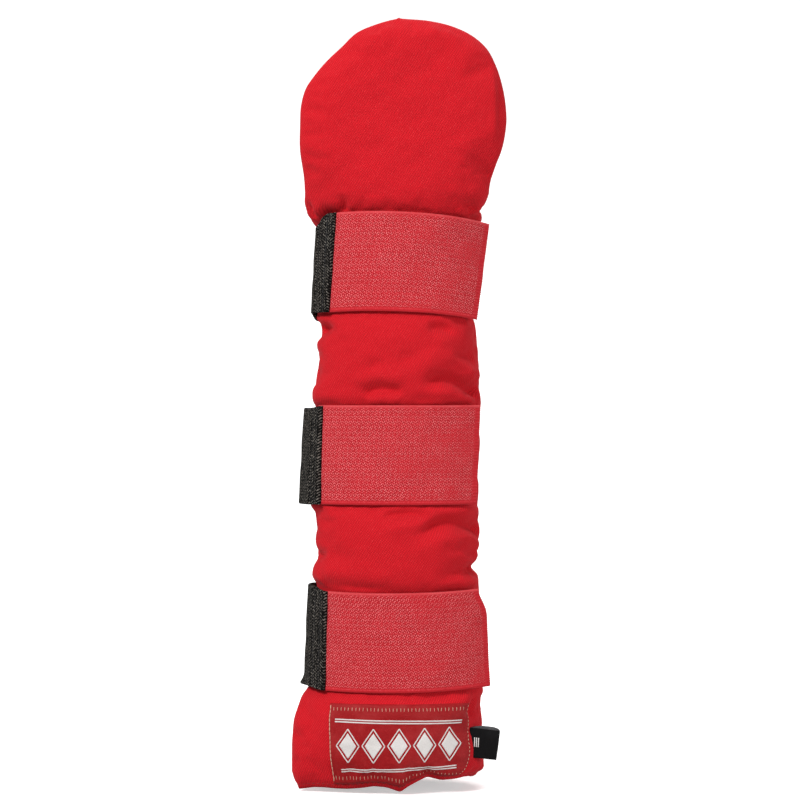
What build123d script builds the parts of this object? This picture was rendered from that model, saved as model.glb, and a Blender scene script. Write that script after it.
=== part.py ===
"""Padded wrap guard for a tail or a limb.

A soft padded panel is rolled into an oval sleeve. It folds at the right and its two edges
meet in a slit at the left. Three straps close the slit: each is an elastic sewn to the back,
led round the left side and sewn to a hook tape, which grips a loop patch on the front.
A rounded padded flap stands above the sleeve.

Frame, in millimetres: +Z runs up the sleeve from the bottom hem, -Y is the front, where the
label is, and +X is the folded side. The origin is the middle of the sleeve at the hem.
"""

import os
from math import atan2, cos, degrees, radians, sin, sqrt

from build123d import *

# ---- The channel -------------------------------------------------------------------------
# A four-arc oval. The end arcs are centred on the X axis, and the front and back arcs on the
# Y axis. Every layer of the guard is an offset of it, so all layers share the four centres.
END_RADIUS = 18.0
END_CENTRE = 15.0
SIDE_CENTRE = 36.0
CENTRES_APART = sqrt(END_CENTRE**2 + SIDE_CENTRE**2)
# The angle of the spoke, from the X axis, on which an end arc meets a side arc.
MEETING_ANGLE = degrees(atan2(SIDE_CENTRE, END_CENTRE))

# ---- The pad -----------------------------------------------------------------------------
FABRIC = 0.8
PAD = 9.0  # cover, padding and lining together
SLEEVE_LENGTH = 290.0
SLIT = 2.0
SLIT_ROUNDING = 3.0
FOLD_GAP = 0.2

# ---- The flap, a flat pad on a crease along the top of the front --------------------------
FLAP_BACK = 21.0  # distance of its back face in front of the sleeve's middle
FLAP_CREASE_GAP = 0.3
FLAP_ROUNDING = 4.0
CREASE_Y = -(FLAP_BACK + PAD / 2)
CREASE_Z = SLEEVE_LENGTH + FLAP_CREASE_GAP + PAD / 2
# Points on the rim, from the crease. Arcs run on from one to the next. The first and last are
# below the crease, past the rounded edge.
FLAP_RIM = [
    (38.0, -20.0),
    (54.0, 42.0),
    (43.5, 76.5),
    (10.0, 90.5),
    (-25.5, 79.0),
    (-43.5, 58.5),
    (-48.6, 36.0),
    (-43.0, -20.0),
]
FLAP_RIM_START = (2.0, 7.0)  # the direction in which the rim leaves its first point

# ---- The straps --------------------------------------------------------------------------
STRAP_WIDTH = 50.0
STRAP_HEIGHTS = {"bottom": 72.5, "middle": 166.0, "top": 262.0}  # of each strap's middle
# How far each hook tape runs on, flat, past the front of the sleeve.
TAPE_TAILS = {"bottom": 19.5, "middle": 16.0, "top": 18.0}

LOOP_THICK = 1.1
LOOP_HALF_LENGTH = 24.0
LOOP_HEIGHT = 46.0
HOOK_GAP = 0.25
TAPE_THICK = 1.0
ELASTIC_THICK = 1.2
THREAD = 0.6
THREAD_PROUD = 0.3

LOOP_FACE = PAD + LOOP_THICK
TAPE_INSIDE = LOOP_FACE + HOOK_GAP
TAPE_OUTSIDE = TAPE_INSIDE + TAPE_THICK
ELASTIC_OUTSIDE = TAPE_INSIDE + ELASTIC_THICK
HEM_OUTSIDE = TAPE_OUTSIDE + 2 * ELASTIC_THICK  # the elastic's end is folded double here

# Spoke angles round the left end: 0 is the outermost point, positive is towards the front.
PEEL_ANGLE = 20.0  # where the elastic bends when the tape is peeled
PEEL_CLEARANCE = 0.5
HEM_START = 30.0
HEM_END = 50.0
HEM_LAP = 2.0
TAPE_START = HEM_START + 1.5
HEM_THREAD_MARGIN = 3.0

ANCHOR_LEFT = -28.0  # the elastic's end on the back, folded under and sewn
ANCHOR_RIGHT = -14.0

# ---- The label and the size tab ----------------------------------------------------------
LABEL_LEFT = -34.0
LABEL_RIGHT = 35.5
LABEL_BOTTOM = 3.0
LABEL_TOP = 40.5
LABEL_THICK = 0.6
LABEL_THREAD_MARGIN = 1.2

TAB_LENGTH = 18.0
TAB_BOTTOM = 13.5
TAB_TOP = 28.5
TAB_THICK = 1.4
TAB_LEAF = 0.5
TAB_LEAN = 10.0  # degrees that it points back from the X axis
TAB_X = LABEL_RIGHT + 0.8
TAB_OFFSET = PAD + 1.2
TAB_ROOT_GAP = 0.3

HEM_STITCH_Z = 1.6
HEM_STITCH_PROUD = 0.2

FAR = 120.0  # past every part of the section


# ---- Sections ----------------------------------------------------------------------------
def oval(offset):
    """The filled oval that lies offset outside the wall of the channel."""
    end_radius = END_RADIUS + offset
    meet_x = END_CENTRE + end_radius * END_CENTRE / CENTRES_APART
    meet_y = end_radius * SIDE_CENTRE / CENTRES_APART
    end_x = END_CENTRE + end_radius
    side_y = END_RADIUS + CENTRES_APART + offset - SIDE_CENTRE
    return make_face(
        [
            ThreePointArc((meet_x, -meet_y), (end_x, 0), (meet_x, meet_y)),
            ThreePointArc((meet_x, meet_y), (0, side_y), (-meet_x, meet_y)),
            ThreePointArc((-meet_x, meet_y), (-end_x, 0), (-meet_x, -meet_y)),
            ThreePointArc((-meet_x, -meet_y), (0, -side_y), (meet_x, -meet_y)),
        ]
    )


def layer(inside, outside):
    """The closed ring between two offsets of the channel."""
    return oval(outside) - oval(inside)


def polygon(*points):
    """A filled polygon through the points."""
    return make_face(Polyline(*points, close=True))


def span(left, right, bottom, top):
    """A filled rectangle between the given limits."""
    return Pos((left + right) / 2, (bottom + top) / 2) * Rectangle(right - left, top - bottom)


def left_spoke(angle, reach=FAR):
    """A point on a spoke of the left end. Angle 0 is outermost, and positive is frontward."""
    turn = radians(angle)
    return (-END_CENTRE - reach * cos(turn), -reach * sin(turn))


def left_wedge(start, end):
    """The wedge of the left end between two spoke angles."""
    return polygon(
        (-END_CENTRE, 0), left_spoke(start), left_spoke((start + end) / 2, 2 * FAR), left_spoke(end)
    )


def front_from(angle):
    """The front of the sleeve, from a spoke of the left end to the right end's meeting spoke."""
    turn = radians(MEETING_ANGLE)
    right_far = (END_CENTRE + FAR * cos(turn), -FAR * sin(turn))
    return polygon(
        (-END_CENTRE, 0), left_spoke(angle), (-2 * FAR, -2 * FAR), right_far, (END_CENTRE, 0)
    )


def front_part(left, right):
    """The front of the sleeve between two X values."""
    return span(left, right, -FAR, 0)


def back_part(left, right):
    """The back of the sleeve between two X values."""
    return span(left, right, 0, FAR)


def raised(section, bottom, top):
    """The section as a solid between two heights."""
    return Pos(0, 0, bottom) * extrude(section, amount=top - bottom)


def thread_box(inside, region, shrink, bottom, top, proud=THREAD_PROUD):
    """A closed line of thread lying on an offset. region(shrink) gives what it encloses."""
    outer = raised(layer(inside, inside + proud) & region(0), bottom, top)
    cut = layer(inside - proud, inside + 2 * proud) & region(shrink)
    return outer - raised(cut, bottom + THREAD, top - THREAD)


# ---- The pad -----------------------------------------------------------------------------
def open_section():
    """The pad's whole C-shaped section, with its two edges rounded at the slit."""
    slit = span(-FAR, 0, -SLIT / 2, SLIT / 2)
    section = layer(0, PAD) - slit
    edges = section.vertices().filter_by(lambda v: v.X < -END_CENTRE and abs(v.Y) < SLIT)
    return fillet(edges, SLIT_ROUNDING)


def half(section, side):
    """The front half (side -1) or the back half (side 1) of a section, parted at the fold."""
    near, far = side * FOLD_GAP / 2, side * FAR
    return section & span(-FAR, FAR, min(near, far), max(near, far))


def pad_half(side):
    """Cover, padding and lining of one half of the sleeve."""
    whole = open_section()
    inner = offset(whole, -FABRIC)
    lining_section = whole & layer(0, FABRIC)
    low, high = FABRIC, SLEEVE_LENGTH - FABRIC
    padding = raised(half(inner, side), low, high)
    lining = raised(half(lining_section, side), low, high)
    cover = raised(half(whole, side), 0, SLEEVE_LENGTH) - padding - lining
    return cover, padding, lining


# ---- The flap ----------------------------------------------------------------------------
def flap_outline():
    """The flap's rim, closed below the crease."""
    rim = [TangentArc(FLAP_RIM[0], FLAP_RIM[1], tangent=FLAP_RIM_START)]
    for start, end in zip(FLAP_RIM[1:], FLAP_RIM[2:]):
        rim.append(TangentArc(start, end, tangent=rim[-1] % 1))
    return make_face(rim + [Line(FLAP_RIM[-1], FLAP_RIM[0])])


def flap_blank(inset):
    """The flap's pad, shrunk all round by inset, with a half-round edge on the crease."""
    outline = flap_outline()
    if inset:
        outline = offset(outline, -inset)
    outline = outline & span(-FAR, FAR, -PAD, FAR)
    roll_radius = PAD / 2 - inset
    upright = Plane(origin=(0, -FLAP_BACK - inset, CREASE_Z), x_dir=(1, 0, 0), z_dir=(0, -1, 0))
    blank = extrude(upright * outline, amount=2 * roll_radius)
    rim = blank.edges().filter_by(lambda e: abs(e.tangent_at(0).Y) < 0.5 and e.center().Z > CREASE_Z)
    blank = fillet(rim, FLAP_ROUNDING - inset)
    profile = span(-roll_radius, roll_radius, 0, FAR) + Circle(roll_radius)
    sideways = Plane(origin=(-FAR, CREASE_Y, CREASE_Z), x_dir=(0, 1, 0), z_dir=(1, 0, 0))
    return blank & extrude(sideways * profile, amount=2 * FAR)


def flap():
    """The flap's front cover, padding and back lining."""
    padding = flap_blank(FABRIC)
    shell = flap_blank(0) - padding
    front_side = Pos(0, CREASE_Y - FAR / 2, CREASE_Z) * Box(2 * FAR, FAR, 2 * FAR)
    return shell & front_side, padding, shell - front_side


# ---- The straps --------------------------------------------------------------------------
def strap_limits(name, height):
    """Lowest and highest Z of a piece of the given height, centred on the named strap."""
    middle = STRAP_HEIGHTS[name]
    return middle - height / 2, middle + height / 2


def hook_tape(name):
    """The hook tape: round the front of the sleeve, then flat and straight to its cut end."""
    curved = layer(TAPE_INSIDE, TAPE_OUTSIDE) & front_from(TAPE_START)
    turn = radians(MEETING_ANGLE)
    out_x, out_y = cos(turn), -sin(turn)
    near, far = END_RADIUS + TAPE_INSIDE, END_RADIUS + TAPE_OUTSIDE
    root_in = (END_CENTRE + near * out_x, near * out_y)
    root_out = (END_CENTRE + far * out_x, far * out_y)
    along_x, along_y = -out_y * TAPE_TAILS[name], out_x * TAPE_TAILS[name]
    end_out = (root_out[0] + along_x, root_out[1] + along_y)
    end_in = (root_in[0] + along_x, root_in[1] + along_y)
    tail = polygon(root_in, root_out, end_out, end_in)
    return raised(curved + tail, *strap_limits(name, STRAP_WIDTH))


def elastic_hem(name):
    """The elastic's end, folded double over the tape, and the short tongue it bends on."""
    tongue = layer(TAPE_INSIDE, ELASTIC_OUTSIDE) & left_wedge(
        PEEL_ANGLE + PEEL_CLEARANCE, HEM_START + 1
    )
    fold = layer(TAPE_OUTSIDE, HEM_OUTSIDE) & left_wedge(HEM_START - HEM_LAP, HEM_END)
    return raised(tongue + fold, *strap_limits(name, STRAP_WIDTH))


def hem_stitches(name):
    """The box of thread through the folded elastic and the tape."""

    def region(shrink):
        margin = HEM_THREAD_MARGIN + shrink
        return left_wedge(HEM_START + margin, HEM_END - margin)

    low, high = strap_limits(name, STRAP_WIDTH - 2 * HEM_THREAD_MARGIN)
    return thread_box(HEM_OUTSIDE, region, 1.2, low, high)


def elastic_band(name):
    """The elastic round the left side, with its other end folded under on the back."""
    round_left = polygon(
        (-END_CENTRE, 0), left_spoke(PEEL_ANGLE), (-FAR, FAR), (ANCHOR_RIGHT, FAR), (ANCHOR_RIGHT, 0)
    )
    band = layer(TAPE_INSIDE, ELASTIC_OUTSIDE) & round_left
    folded_under = layer(PAD, TAPE_INSIDE) & back_part(ANCHOR_LEFT, ANCHOR_RIGHT)
    return raised(band + folded_under, *strap_limits(name, STRAP_WIDTH))


def anchor_stitches(name):
    """The box of thread that holds the elastic to the back."""

    def region(shrink):
        margin = LABEL_THREAD_MARGIN + shrink
        return back_part(ANCHOR_LEFT + margin, ANCHOR_RIGHT - margin)

    low, high = strap_limits(name, STRAP_WIDTH - 2 * HEM_THREAD_MARGIN)
    return thread_box(ELASTIC_OUTSIDE, region, THREAD, low, high)


def loop_patch(name):
    """The soft loop patch on the front, under the hook tape."""
    section = layer(PAD, LOOP_FACE) & front_part(-LOOP_HALF_LENGTH, LOOP_HALF_LENGTH)
    return raised(section, *strap_limits(name, LOOP_HEIGHT))


def loop_stitches(name):
    """The line of thread round a loop patch, sunk below the hooks."""

    def region(shrink):
        half_length = LOOP_HALF_LENGTH - LABEL_THREAD_MARGIN - shrink
        return front_part(-half_length, half_length)

    low, high = strap_limits(name, LOOP_HEIGHT - 2 * LABEL_THREAD_MARGIN)
    return thread_box(LOOP_FACE, region, THREAD, low, high, proud=HOOK_GAP / 2)


# ---- The label, the size tab and the hem --------------------------------------------------
def label():
    """The woven label on the front, between the bottom strap and the hem."""
    section = layer(PAD, PAD + LABEL_THICK) & front_part(LABEL_LEFT, LABEL_RIGHT)
    return raised(section, LABEL_BOTTOM, LABEL_TOP)


def label_stitches():
    """The line of thread round the label."""

    def region(shrink):
        margin = LABEL_THREAD_MARGIN + shrink
        return front_part(LABEL_LEFT + margin, LABEL_RIGHT - margin)

    low, high = LABEL_BOTTOM + LABEL_THREAD_MARGIN, LABEL_TOP - LABEL_THREAD_MARGIN
    return thread_box(PAD + LABEL_THICK, region, THREAD, low, high)


def size_tab():
    """The size tab: a ribbon folded in two, caught beside the label's right edge."""
    end_radius = END_RADIUS + TAB_OFFSET
    root_y = -sqrt(end_radius**2 - (TAB_X - END_CENTRE) ** 2)
    straight_end = TAB_LENGTH - TAB_THICK / 2
    slot = TAB_THICK - 2 * TAB_LEAF
    ribbon = span(TAB_ROOT_GAP, straight_end, -TAB_THICK / 2, TAB_THICK / 2)
    ribbon += Pos(straight_end, 0) * Circle(TAB_THICK / 2)
    ribbon -= span(0, straight_end, -slot / 2, slot / 2)
    placed = Pos(TAB_X, root_y) * Rot(0, 0, TAB_LEAN) * ribbon
    return raised(placed, TAB_BOTTOM, TAB_TOP)


def sleeve_hem_stitches(side):
    """The line of thread along the bottom hem of one half of the sleeve."""
    away_from_slit = span(-END_CENTRE - END_RADIUS, FAR, -FAR, FAR)
    section = half(layer(PAD, PAD + HEM_STITCH_PROUD), side) & away_from_slit
    return raised(section, HEM_STITCH_Z, HEM_STITCH_Z + THREAD)


# ---- The assembly ------------------------------------------------------------------------
def group(pieces):
    """Separate solids that share one node."""
    return Compound(children=[solid for piece in pieces for solid in piece.solids()])


def assembly():
    """Every piece of the guard by the name of its node."""
    nodes = {}
    for name, side in (("front", -1), ("back", 1)):
        cover, padding, lining = pad_half(side)
        nodes[f"{name}_cover"] = cover
        nodes[f"{name}_padding"] = padding
        nodes[f"{name}_lining"] = lining
        nodes[f"{name}_hem_stitches"] = sleeve_hem_stitches(side)
    nodes["flap_cover"], nodes["flap_padding"], nodes["flap_lining"] = flap()
    for name in STRAP_HEIGHTS:
        nodes[f"hook_tape_{name}"] = hook_tape(name)
        nodes[f"elastic_hem_{name}"] = elastic_hem(name)
        nodes[f"strap_stitches_{name}"] = hem_stitches(name)
        nodes[f"elastic_band_{name}"] = elastic_band(name)
        nodes[f"loop_patch_{name}"] = loop_patch(name)
    nodes["elastic_anchor_stitches"] = group(anchor_stitches(name) for name in STRAP_HEIGHTS)
    nodes["loop_patch_stitches"] = group(loop_stitches(name) for name in STRAP_HEIGHTS)
    nodes["woven_label"] = label()
    nodes["label_stitches"] = label_stitches()
    nodes["size_tab"] = size_tab()
    return nodes


os.makedirs("parts", exist_ok=True)
for node, shape in assembly().items():
    export_step(shape, f"parts/{node}.step")
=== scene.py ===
"""Looks of the padded tail guard.

Every soft piece is laid out on a map of the rolled pad. A place on the map is (s, z, d), in
millimetres: s is the way round the sleeve's outside from the middle of the front, positive to
the right; z is the height; d is the distance outside the wall of the channel, so the pad runs
from d = 0 to d = 9. The map unrolls towards the head flap and at the lower left corner.
"""

import math

import bmesh
import bpy
import numpy as np
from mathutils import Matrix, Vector


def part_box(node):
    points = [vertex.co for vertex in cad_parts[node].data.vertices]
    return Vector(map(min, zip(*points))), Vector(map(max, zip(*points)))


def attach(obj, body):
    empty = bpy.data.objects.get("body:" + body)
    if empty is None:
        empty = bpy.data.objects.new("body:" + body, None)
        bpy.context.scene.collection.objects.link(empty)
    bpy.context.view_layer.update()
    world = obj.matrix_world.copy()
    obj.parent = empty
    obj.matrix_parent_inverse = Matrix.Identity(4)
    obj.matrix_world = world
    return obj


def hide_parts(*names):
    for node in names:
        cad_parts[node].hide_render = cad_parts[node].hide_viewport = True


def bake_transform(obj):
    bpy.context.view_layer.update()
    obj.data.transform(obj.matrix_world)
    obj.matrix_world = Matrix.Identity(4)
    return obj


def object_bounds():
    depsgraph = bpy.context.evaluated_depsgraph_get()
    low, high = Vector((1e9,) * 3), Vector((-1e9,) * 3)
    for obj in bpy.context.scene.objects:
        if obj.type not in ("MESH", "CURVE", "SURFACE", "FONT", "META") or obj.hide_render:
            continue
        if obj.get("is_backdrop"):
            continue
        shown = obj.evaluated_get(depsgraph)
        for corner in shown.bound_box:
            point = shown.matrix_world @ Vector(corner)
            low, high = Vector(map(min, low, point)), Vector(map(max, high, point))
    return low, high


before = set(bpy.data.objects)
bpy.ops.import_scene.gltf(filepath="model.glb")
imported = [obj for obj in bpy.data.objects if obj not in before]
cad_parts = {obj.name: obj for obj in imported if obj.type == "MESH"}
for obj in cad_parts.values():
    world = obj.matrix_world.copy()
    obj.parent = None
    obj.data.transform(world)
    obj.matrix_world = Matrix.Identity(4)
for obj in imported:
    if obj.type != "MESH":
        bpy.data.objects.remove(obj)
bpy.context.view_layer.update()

MM = 0.001
PI = math.pi

# ---- The map ----
PAD = 9.0  # the pad's thickness
OUT_END, OUT_SIDE = 27.0, 66.0  # radii of the pad's outside: the ends, the front and back
END_X, SIDE_Y = 15.0, 36.0  # how far the centres of those arcs lie from the middle
FRONT_Y = SIDE_Y - OUT_SIDE
TURN = math.atan2(END_X, SIDE_Y)  # how far the front arc turns from the middle to its end
S_FRONT = OUT_SIDE * TURN
S_LEFT = S_FRONT + OUT_END * (PI / 2 - TURN)
S_ROUND = 4 * S_LEFT
S_SEAM = 50.0  # front panel to fold piece
S_BACK_SEAM = 2 * S_LEFT - S_SEAM  # fold piece to back panel
Z_TUBE = 290.0  # the sleeve's mouth
Z_NECK = 285.0  # where the left edge leaves the slit for the flap
Z_HEAD = 385.5  # the flap's top
MAP_STEP = 0.5


def smooth(t):
    """Rises from 0 to 1 with level ends while t goes from 0 to 1."""
    t = np.clip(t, 0, 1)
    return t * t * (3 - 2 * t)


def rounded(t):
    """Rises from 0 to 1 as a quarter circle while t goes from 0 to 1."""
    return np.sqrt(np.clip(1 - (1 - np.clip(t, 0, 1)) ** 2, 0, 1))


def peak(x, at, width):
    return np.exp(-((x - at) / width) ** 2)


UV_UNIT = 100.0  # millimetres


def uv(a, b):
    return np.stack(np.broadcast_arrays(a, b), -1) / UV_UNIT


def turn_of(s):
    """How far the outside has turned from the middle of the front, on the closed sleeve."""
    a, b = S_FRONT, 2 * S_LEFT - S_FRONT
    return np.interp(s, [-b, -a, a, b, b + 2 * a, 3 * b],
                     [TURN - PI, -TURN, TURN, PI - TURN, PI + TURN,
                      PI + TURN + (2 * b - 2 * a) / OUT_END])


def unroll(s, z):
    """How much of the turn is lost at the flap and at the lower left corner."""
    neck = 0.8 * smooth((z - Z_TUBE) / 34)
    corner = 0.62 * smooth((55 - z) / 26) * smooth((-s - 16) / 24)
    return np.maximum(neck, corner)


S_GRID = np.arange(-62, 177, MAP_STEP)
Z_GRID = np.arange(-8, 396, MAP_STEP)


def make_map():
    """The X, Y and turn of the pad's outside on the grid."""
    s, z = np.meshgrid(S_GRID, Z_GRID)
    turn = turn_of(s) * (1 - unroll(s, z))
    zero = int(round(-S_GRID[0] / MAP_STEP))
    maps = []
    for d, start in ((np.cos(turn), 0.0), (np.sin(turn), FRONT_Y)):
        run = np.zeros_like(d)
        run[:, 1:] = np.cumsum((d[:, 1:] + d[:, :-1]) / 2 * MAP_STEP, axis=1)
        maps.append(run - run[:, zero:zero + 1] + start)
    return maps + [turn]


MAP_X, MAP_Y, MAP_TURN = make_map()


def between(table, column, row):
    """The table's values between its points. A table of points has one more axis."""
    column = np.clip(column, 0, table.shape[1] - 1.001)
    row = np.clip(row, 0, table.shape[0] - 1.001)
    i, j = column.astype(int), row.astype(int)
    a, b = column - i, row - j
    if table.ndim == 3:
        a, b = a[..., None], b[..., None]
    return ((table[j, i] * (1 - a) + table[j, i + 1] * a) * (1 - b)
            + (table[j + 1, i] * (1 - a) + table[j + 1, i + 1] * a) * b)


def look_up(table, s, z):
    """A value of one of the map's tables at (s, z)."""
    return between(table, (s - S_GRID[0]) / MAP_STEP, (z - Z_GRID[0]) / MAP_STEP)


def softened(points, size):
    """A function that looks up the columns after the first, smoothed over the first."""
    points = np.array(points, float)
    at = np.arange(points[0, 0], points[-1, 0] + MAP_STEP, MAP_STEP)
    reach = int(6 * size)
    kernel = np.exp(-(np.arange(-reach, reach + 1) * MAP_STEP / size) ** 2)
    columns = []
    for raw in points[:, 1:].T:
        padded = np.pad(np.interp(at, points[:, 0], raw), reach, mode="edge")
        columns.append(np.convolve(padded, kernel / kernel.sum(), mode="valid"))
    return lambda x: [np.interp(x, at, column) for column in columns]


# How far the sleeve stands outside its nominal oval where no strap holds it.
free_bulk = softened([
    # z, left, right, front, back
    (-8, 2.0, 0.4, 0.5, 0.5),
    (20, 1.9, 0.4, 0.6, 1.0),
    (26, 1.1, 0.0, 0.5, 0.9),
    (32, 0.4, -0.5, 0.3, 0.8),
    (38, 0.6, -0.4, 0.3, 0.7),
    (44, 2.2, 2.0, 0.2, 0.4),
    (48, 1.2, 2.6, 0.0, 0.0),
    (56, 1.5, 1.0, 0.0, 0.0),
    (99, 2.0, 1.0, 0.0, 0.3),
    (104, 0.4, 0.6, 0.2, 0.6),
    (107.5, -0.6, -2.2, 0.3, 0.8),
    (112.5, -2.2, -0.6, 0.3, 0.8),
    (116, -2.9, -0.9, 0.4, 0.9),
    (120, -2.4, -2.2, 0.4, 0.8),
    (124, -1.8, -0.8, 0.3, 0.8),
    (130, -1.4, -0.7, 0.2, 0.5),
    (136, -0.4, -0.8, 0.1, 0.3),
    (141, 0.2, 0.2, 0.0, 0.2),
    (186, 0.9, 0.3, 0.0, 0.2),
    (191, 1.2, 1.6, 0.0, 0.2),
    (199, -0.4, -0.3, 0.3, 0.6),
    (206, -1.6, -1.3, 0.4, 0.8),
    (214, -3.1, -1.6, 0.5, 0.9),
    (222, -3.0, -2.1, 0.4, 0.8),
    (229, -4.8, -1.3, 0.1, 0.4),
    (236, -2.4, -2.0, 0.0, 0.2),
    (283, -1.0, -1.0, 0.0, 0.1),
    (288, 3.2, 2.5, 0.2, 0.4),
    (293, 6.9, 5.6, 0.2, 0.6),
    (298, 6.0, 6.8, 0.1, 0.5),
    (303, 5.0, 5.5, 0.0, 0.5),
    (312, 2.1, 2.5, 0.0, 0.4),
    (322, 0.4, 0.5, 0.0, 0.0),
    (396, 0.0, 0.0, 0.0, 0.0),
], 2.4)


def strap_bulk(strap, z):
    """The same four distances under a strap."""
    lean = strap["lean"] * np.clip(z - strap["z"], -HALF, HALF)
    return strap["left"] - lean, strap["right"], -0.4, 0.0


def bulk(s, z, strap=None):
    """How far out the guard stands at (s, z): on the given strap, or on the pad."""
    if strap:
        values = strap_bulk(strap, z)
    else:
        values = free_bulk(z)
        for p in STRAPS.values():
            low, high = strap_limits(p, s)
            share = 1 - smooth(np.maximum(low - z, z - high) / 5)
            share = share * (1 - 0.7 * smooth((s - 44) / 8) * (1 - smooth((s - 110) / 12)))
            values = [v * (1 - share) + w * share for v, w in zip(values, strap_bulk(p, z))]
    turn = turn_of(s)
    nx, ny = np.sin(turn), -np.cos(turn)
    left, right, front, back = values
    return (left * np.clip(-nx, 0, 1) ** 2 + right * np.clip(nx, 0, 1) ** 2
            + front * np.clip(-ny, 0, 1) ** 2 + back * np.clip(ny, 0, 1) ** 2)


def place(s, z, d, strap=None):
    """The point at (s, z, d), in metres. s may run on below the left edge, round the back."""
    s, z, d = np.broadcast_arrays(*(np.asarray(v, float) for v in (s, z, d)))
    s = np.where(s < -S_LEFT - 3, s + S_ROUND, s)
    turn = look_up(MAP_TURN, s, z)
    out = d - PAD + bulk(s, z, strap)
    x = look_up(MAP_X, s, z) + np.sin(turn) * out
    y = look_up(MAP_Y, s, z) - np.cos(turn) * out
    return np.stack([x, y, z], axis=-1) * MM


def s_at(x):
    """The s of points of the front that are seen at x from straight in front."""
    s = np.arange(-56, 56.1, MAP_STEP)
    turn = turn_of(s)
    end = np.sign(s) * (END_X + OUT_END * np.sin(np.abs(turn)))
    return np.interp(x, np.where(np.abs(s) < S_FRONT, OUT_SIDE * np.sin(turn), end), s)


# ---- Straps on the map ----
# z, slope and bow: the height of the middle, as z + slope * s + bow * s * s.
# end and skew: where the tape ends at its middle, and how much further per mm of height.
# left, right, slack and lean: how the strap holds the pad, and how far the elastic stands off.
# turn_top, turn_bottom: how the elastic's edges shift as it turns round the left side.
# behind: how far it lies higher on the back.
# hem, hem_skew: how far the folded end lies to the right, and how much further per mm of height.
STRAPS = {
    "top": dict(z=262.8, slope=-0.034, bow=-0.0012, end=48.2, skew=0.17, left=-2.8, right=-1.4,
                slack=0.3, lean=0.06, turn_top=-6.6, turn_bottom=0.0, behind=-3.5,
                hem=3.6, hem_skew=0.075),
    "middle": dict(z=165.9, slope=0.0, bow=0.0, end=44.2, skew=0.05, left=1.0, right=0.3,
                   slack=2.8, lean=0.057, turn_top=-1.4, turn_bottom=-0.3, behind=0.0,
                   hem=-2.2, hem_skew=0.0),
    "bottom": dict(z=71.95, slope=0.008, bow=0.0005, end=50.0, skew=-0.06, left=0.2, right=0.8,
                   slack=1.4, lean=0.045, turn_top=2.4, turn_bottom=1.7, behind=0.0,
                   hem=0.4, hem_skew=0.01),
}
HALF = 25.0  # half a strap's width


def strap_z(strap, s):
    """The height of a strap's middle, which is level past the ends of the front."""
    s = np.clip(s, -33, 60)
    return strap["z"] + strap["slope"] * s + strap["bow"] * s * s


def strap_limits(strap, s):
    """The heights of a strap's lower and upper edges."""
    middle = strap_z(strap, np.where(s > 80, -60, s))
    s = np.where(s > 80, s - S_ROUND, s)
    turning = smooth((-34 - s) / 14) * (1 - smooth((-66 - s) / 14))
    behind = strap["behind"] * smooth((-60 - s) / 10) * (1 - smooth((-85 - s) / 15))
    low = middle - HALF + strap["turn_bottom"] * turning + behind
    return low, middle + HALF + strap["turn_top"] * turning + behind


def strap_edge(s, z):
    """Distance outside the nearest strap's edge, and 0 inside it."""
    limits = [strap_limits(p, s) for p in STRAPS.values()]
    return np.clip(np.min([np.maximum(low - z, z - high) for low, high in limits], axis=0), 0, None)


# ---- Relief of the cloth ----
def segment_distance(s, z, path):
    """Distance to a path, and how far along it (0 to 1) the nearest point is."""
    path = np.asarray(path, float)
    lengths = np.hypot(*np.diff(path, axis=0).T)
    total, run = lengths.sum(), 0.0
    best = np.full(s.shape, 1e9)
    along = np.zeros(s.shape)
    for (a, b), length in zip(zip(path, path[1:]), lengths):
        t = ((s - a[0]) * (b[0] - a[0]) + (z - a[1]) * (b[1] - a[1])) / max(length, 1e-9) ** 2
        t = np.clip(t, 0, 1)
        dist = np.hypot(s - a[0] - t * (b[0] - a[0]), z - a[1] - t * (b[1] - a[1]))
        near = dist < best
        best = np.where(near, dist, best)
        along = np.where(near, (run + t * length) / total, along)
        run += length
    return best, along


def curve(points, n=12):
    """A smooth run of points through the given ones."""
    p = np.asarray(points, float)
    if len(p) < 3:
        return p
    knots = np.concatenate([[0], np.cumsum(np.hypot(*np.diff(p, axis=0).T))])
    slope = np.gradient(p, knots, axis=0)
    out = []
    for k in range(len(p) - 1):
        t = np.linspace(0, 1, n, endpoint=False)[:, None]
        h = knots[k + 1] - knots[k]
        out.append((2 * t**3 - 3 * t**2 + 1) * p[k] + (t**3 - 2 * t**2 + t) * h * slope[k]
                   + (3 * t**2 - 2 * t**3) * p[k + 1] + (t**3 - t**2) * h * slope[k + 1])
    return np.vstack(out + [p[-1:]])


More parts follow.
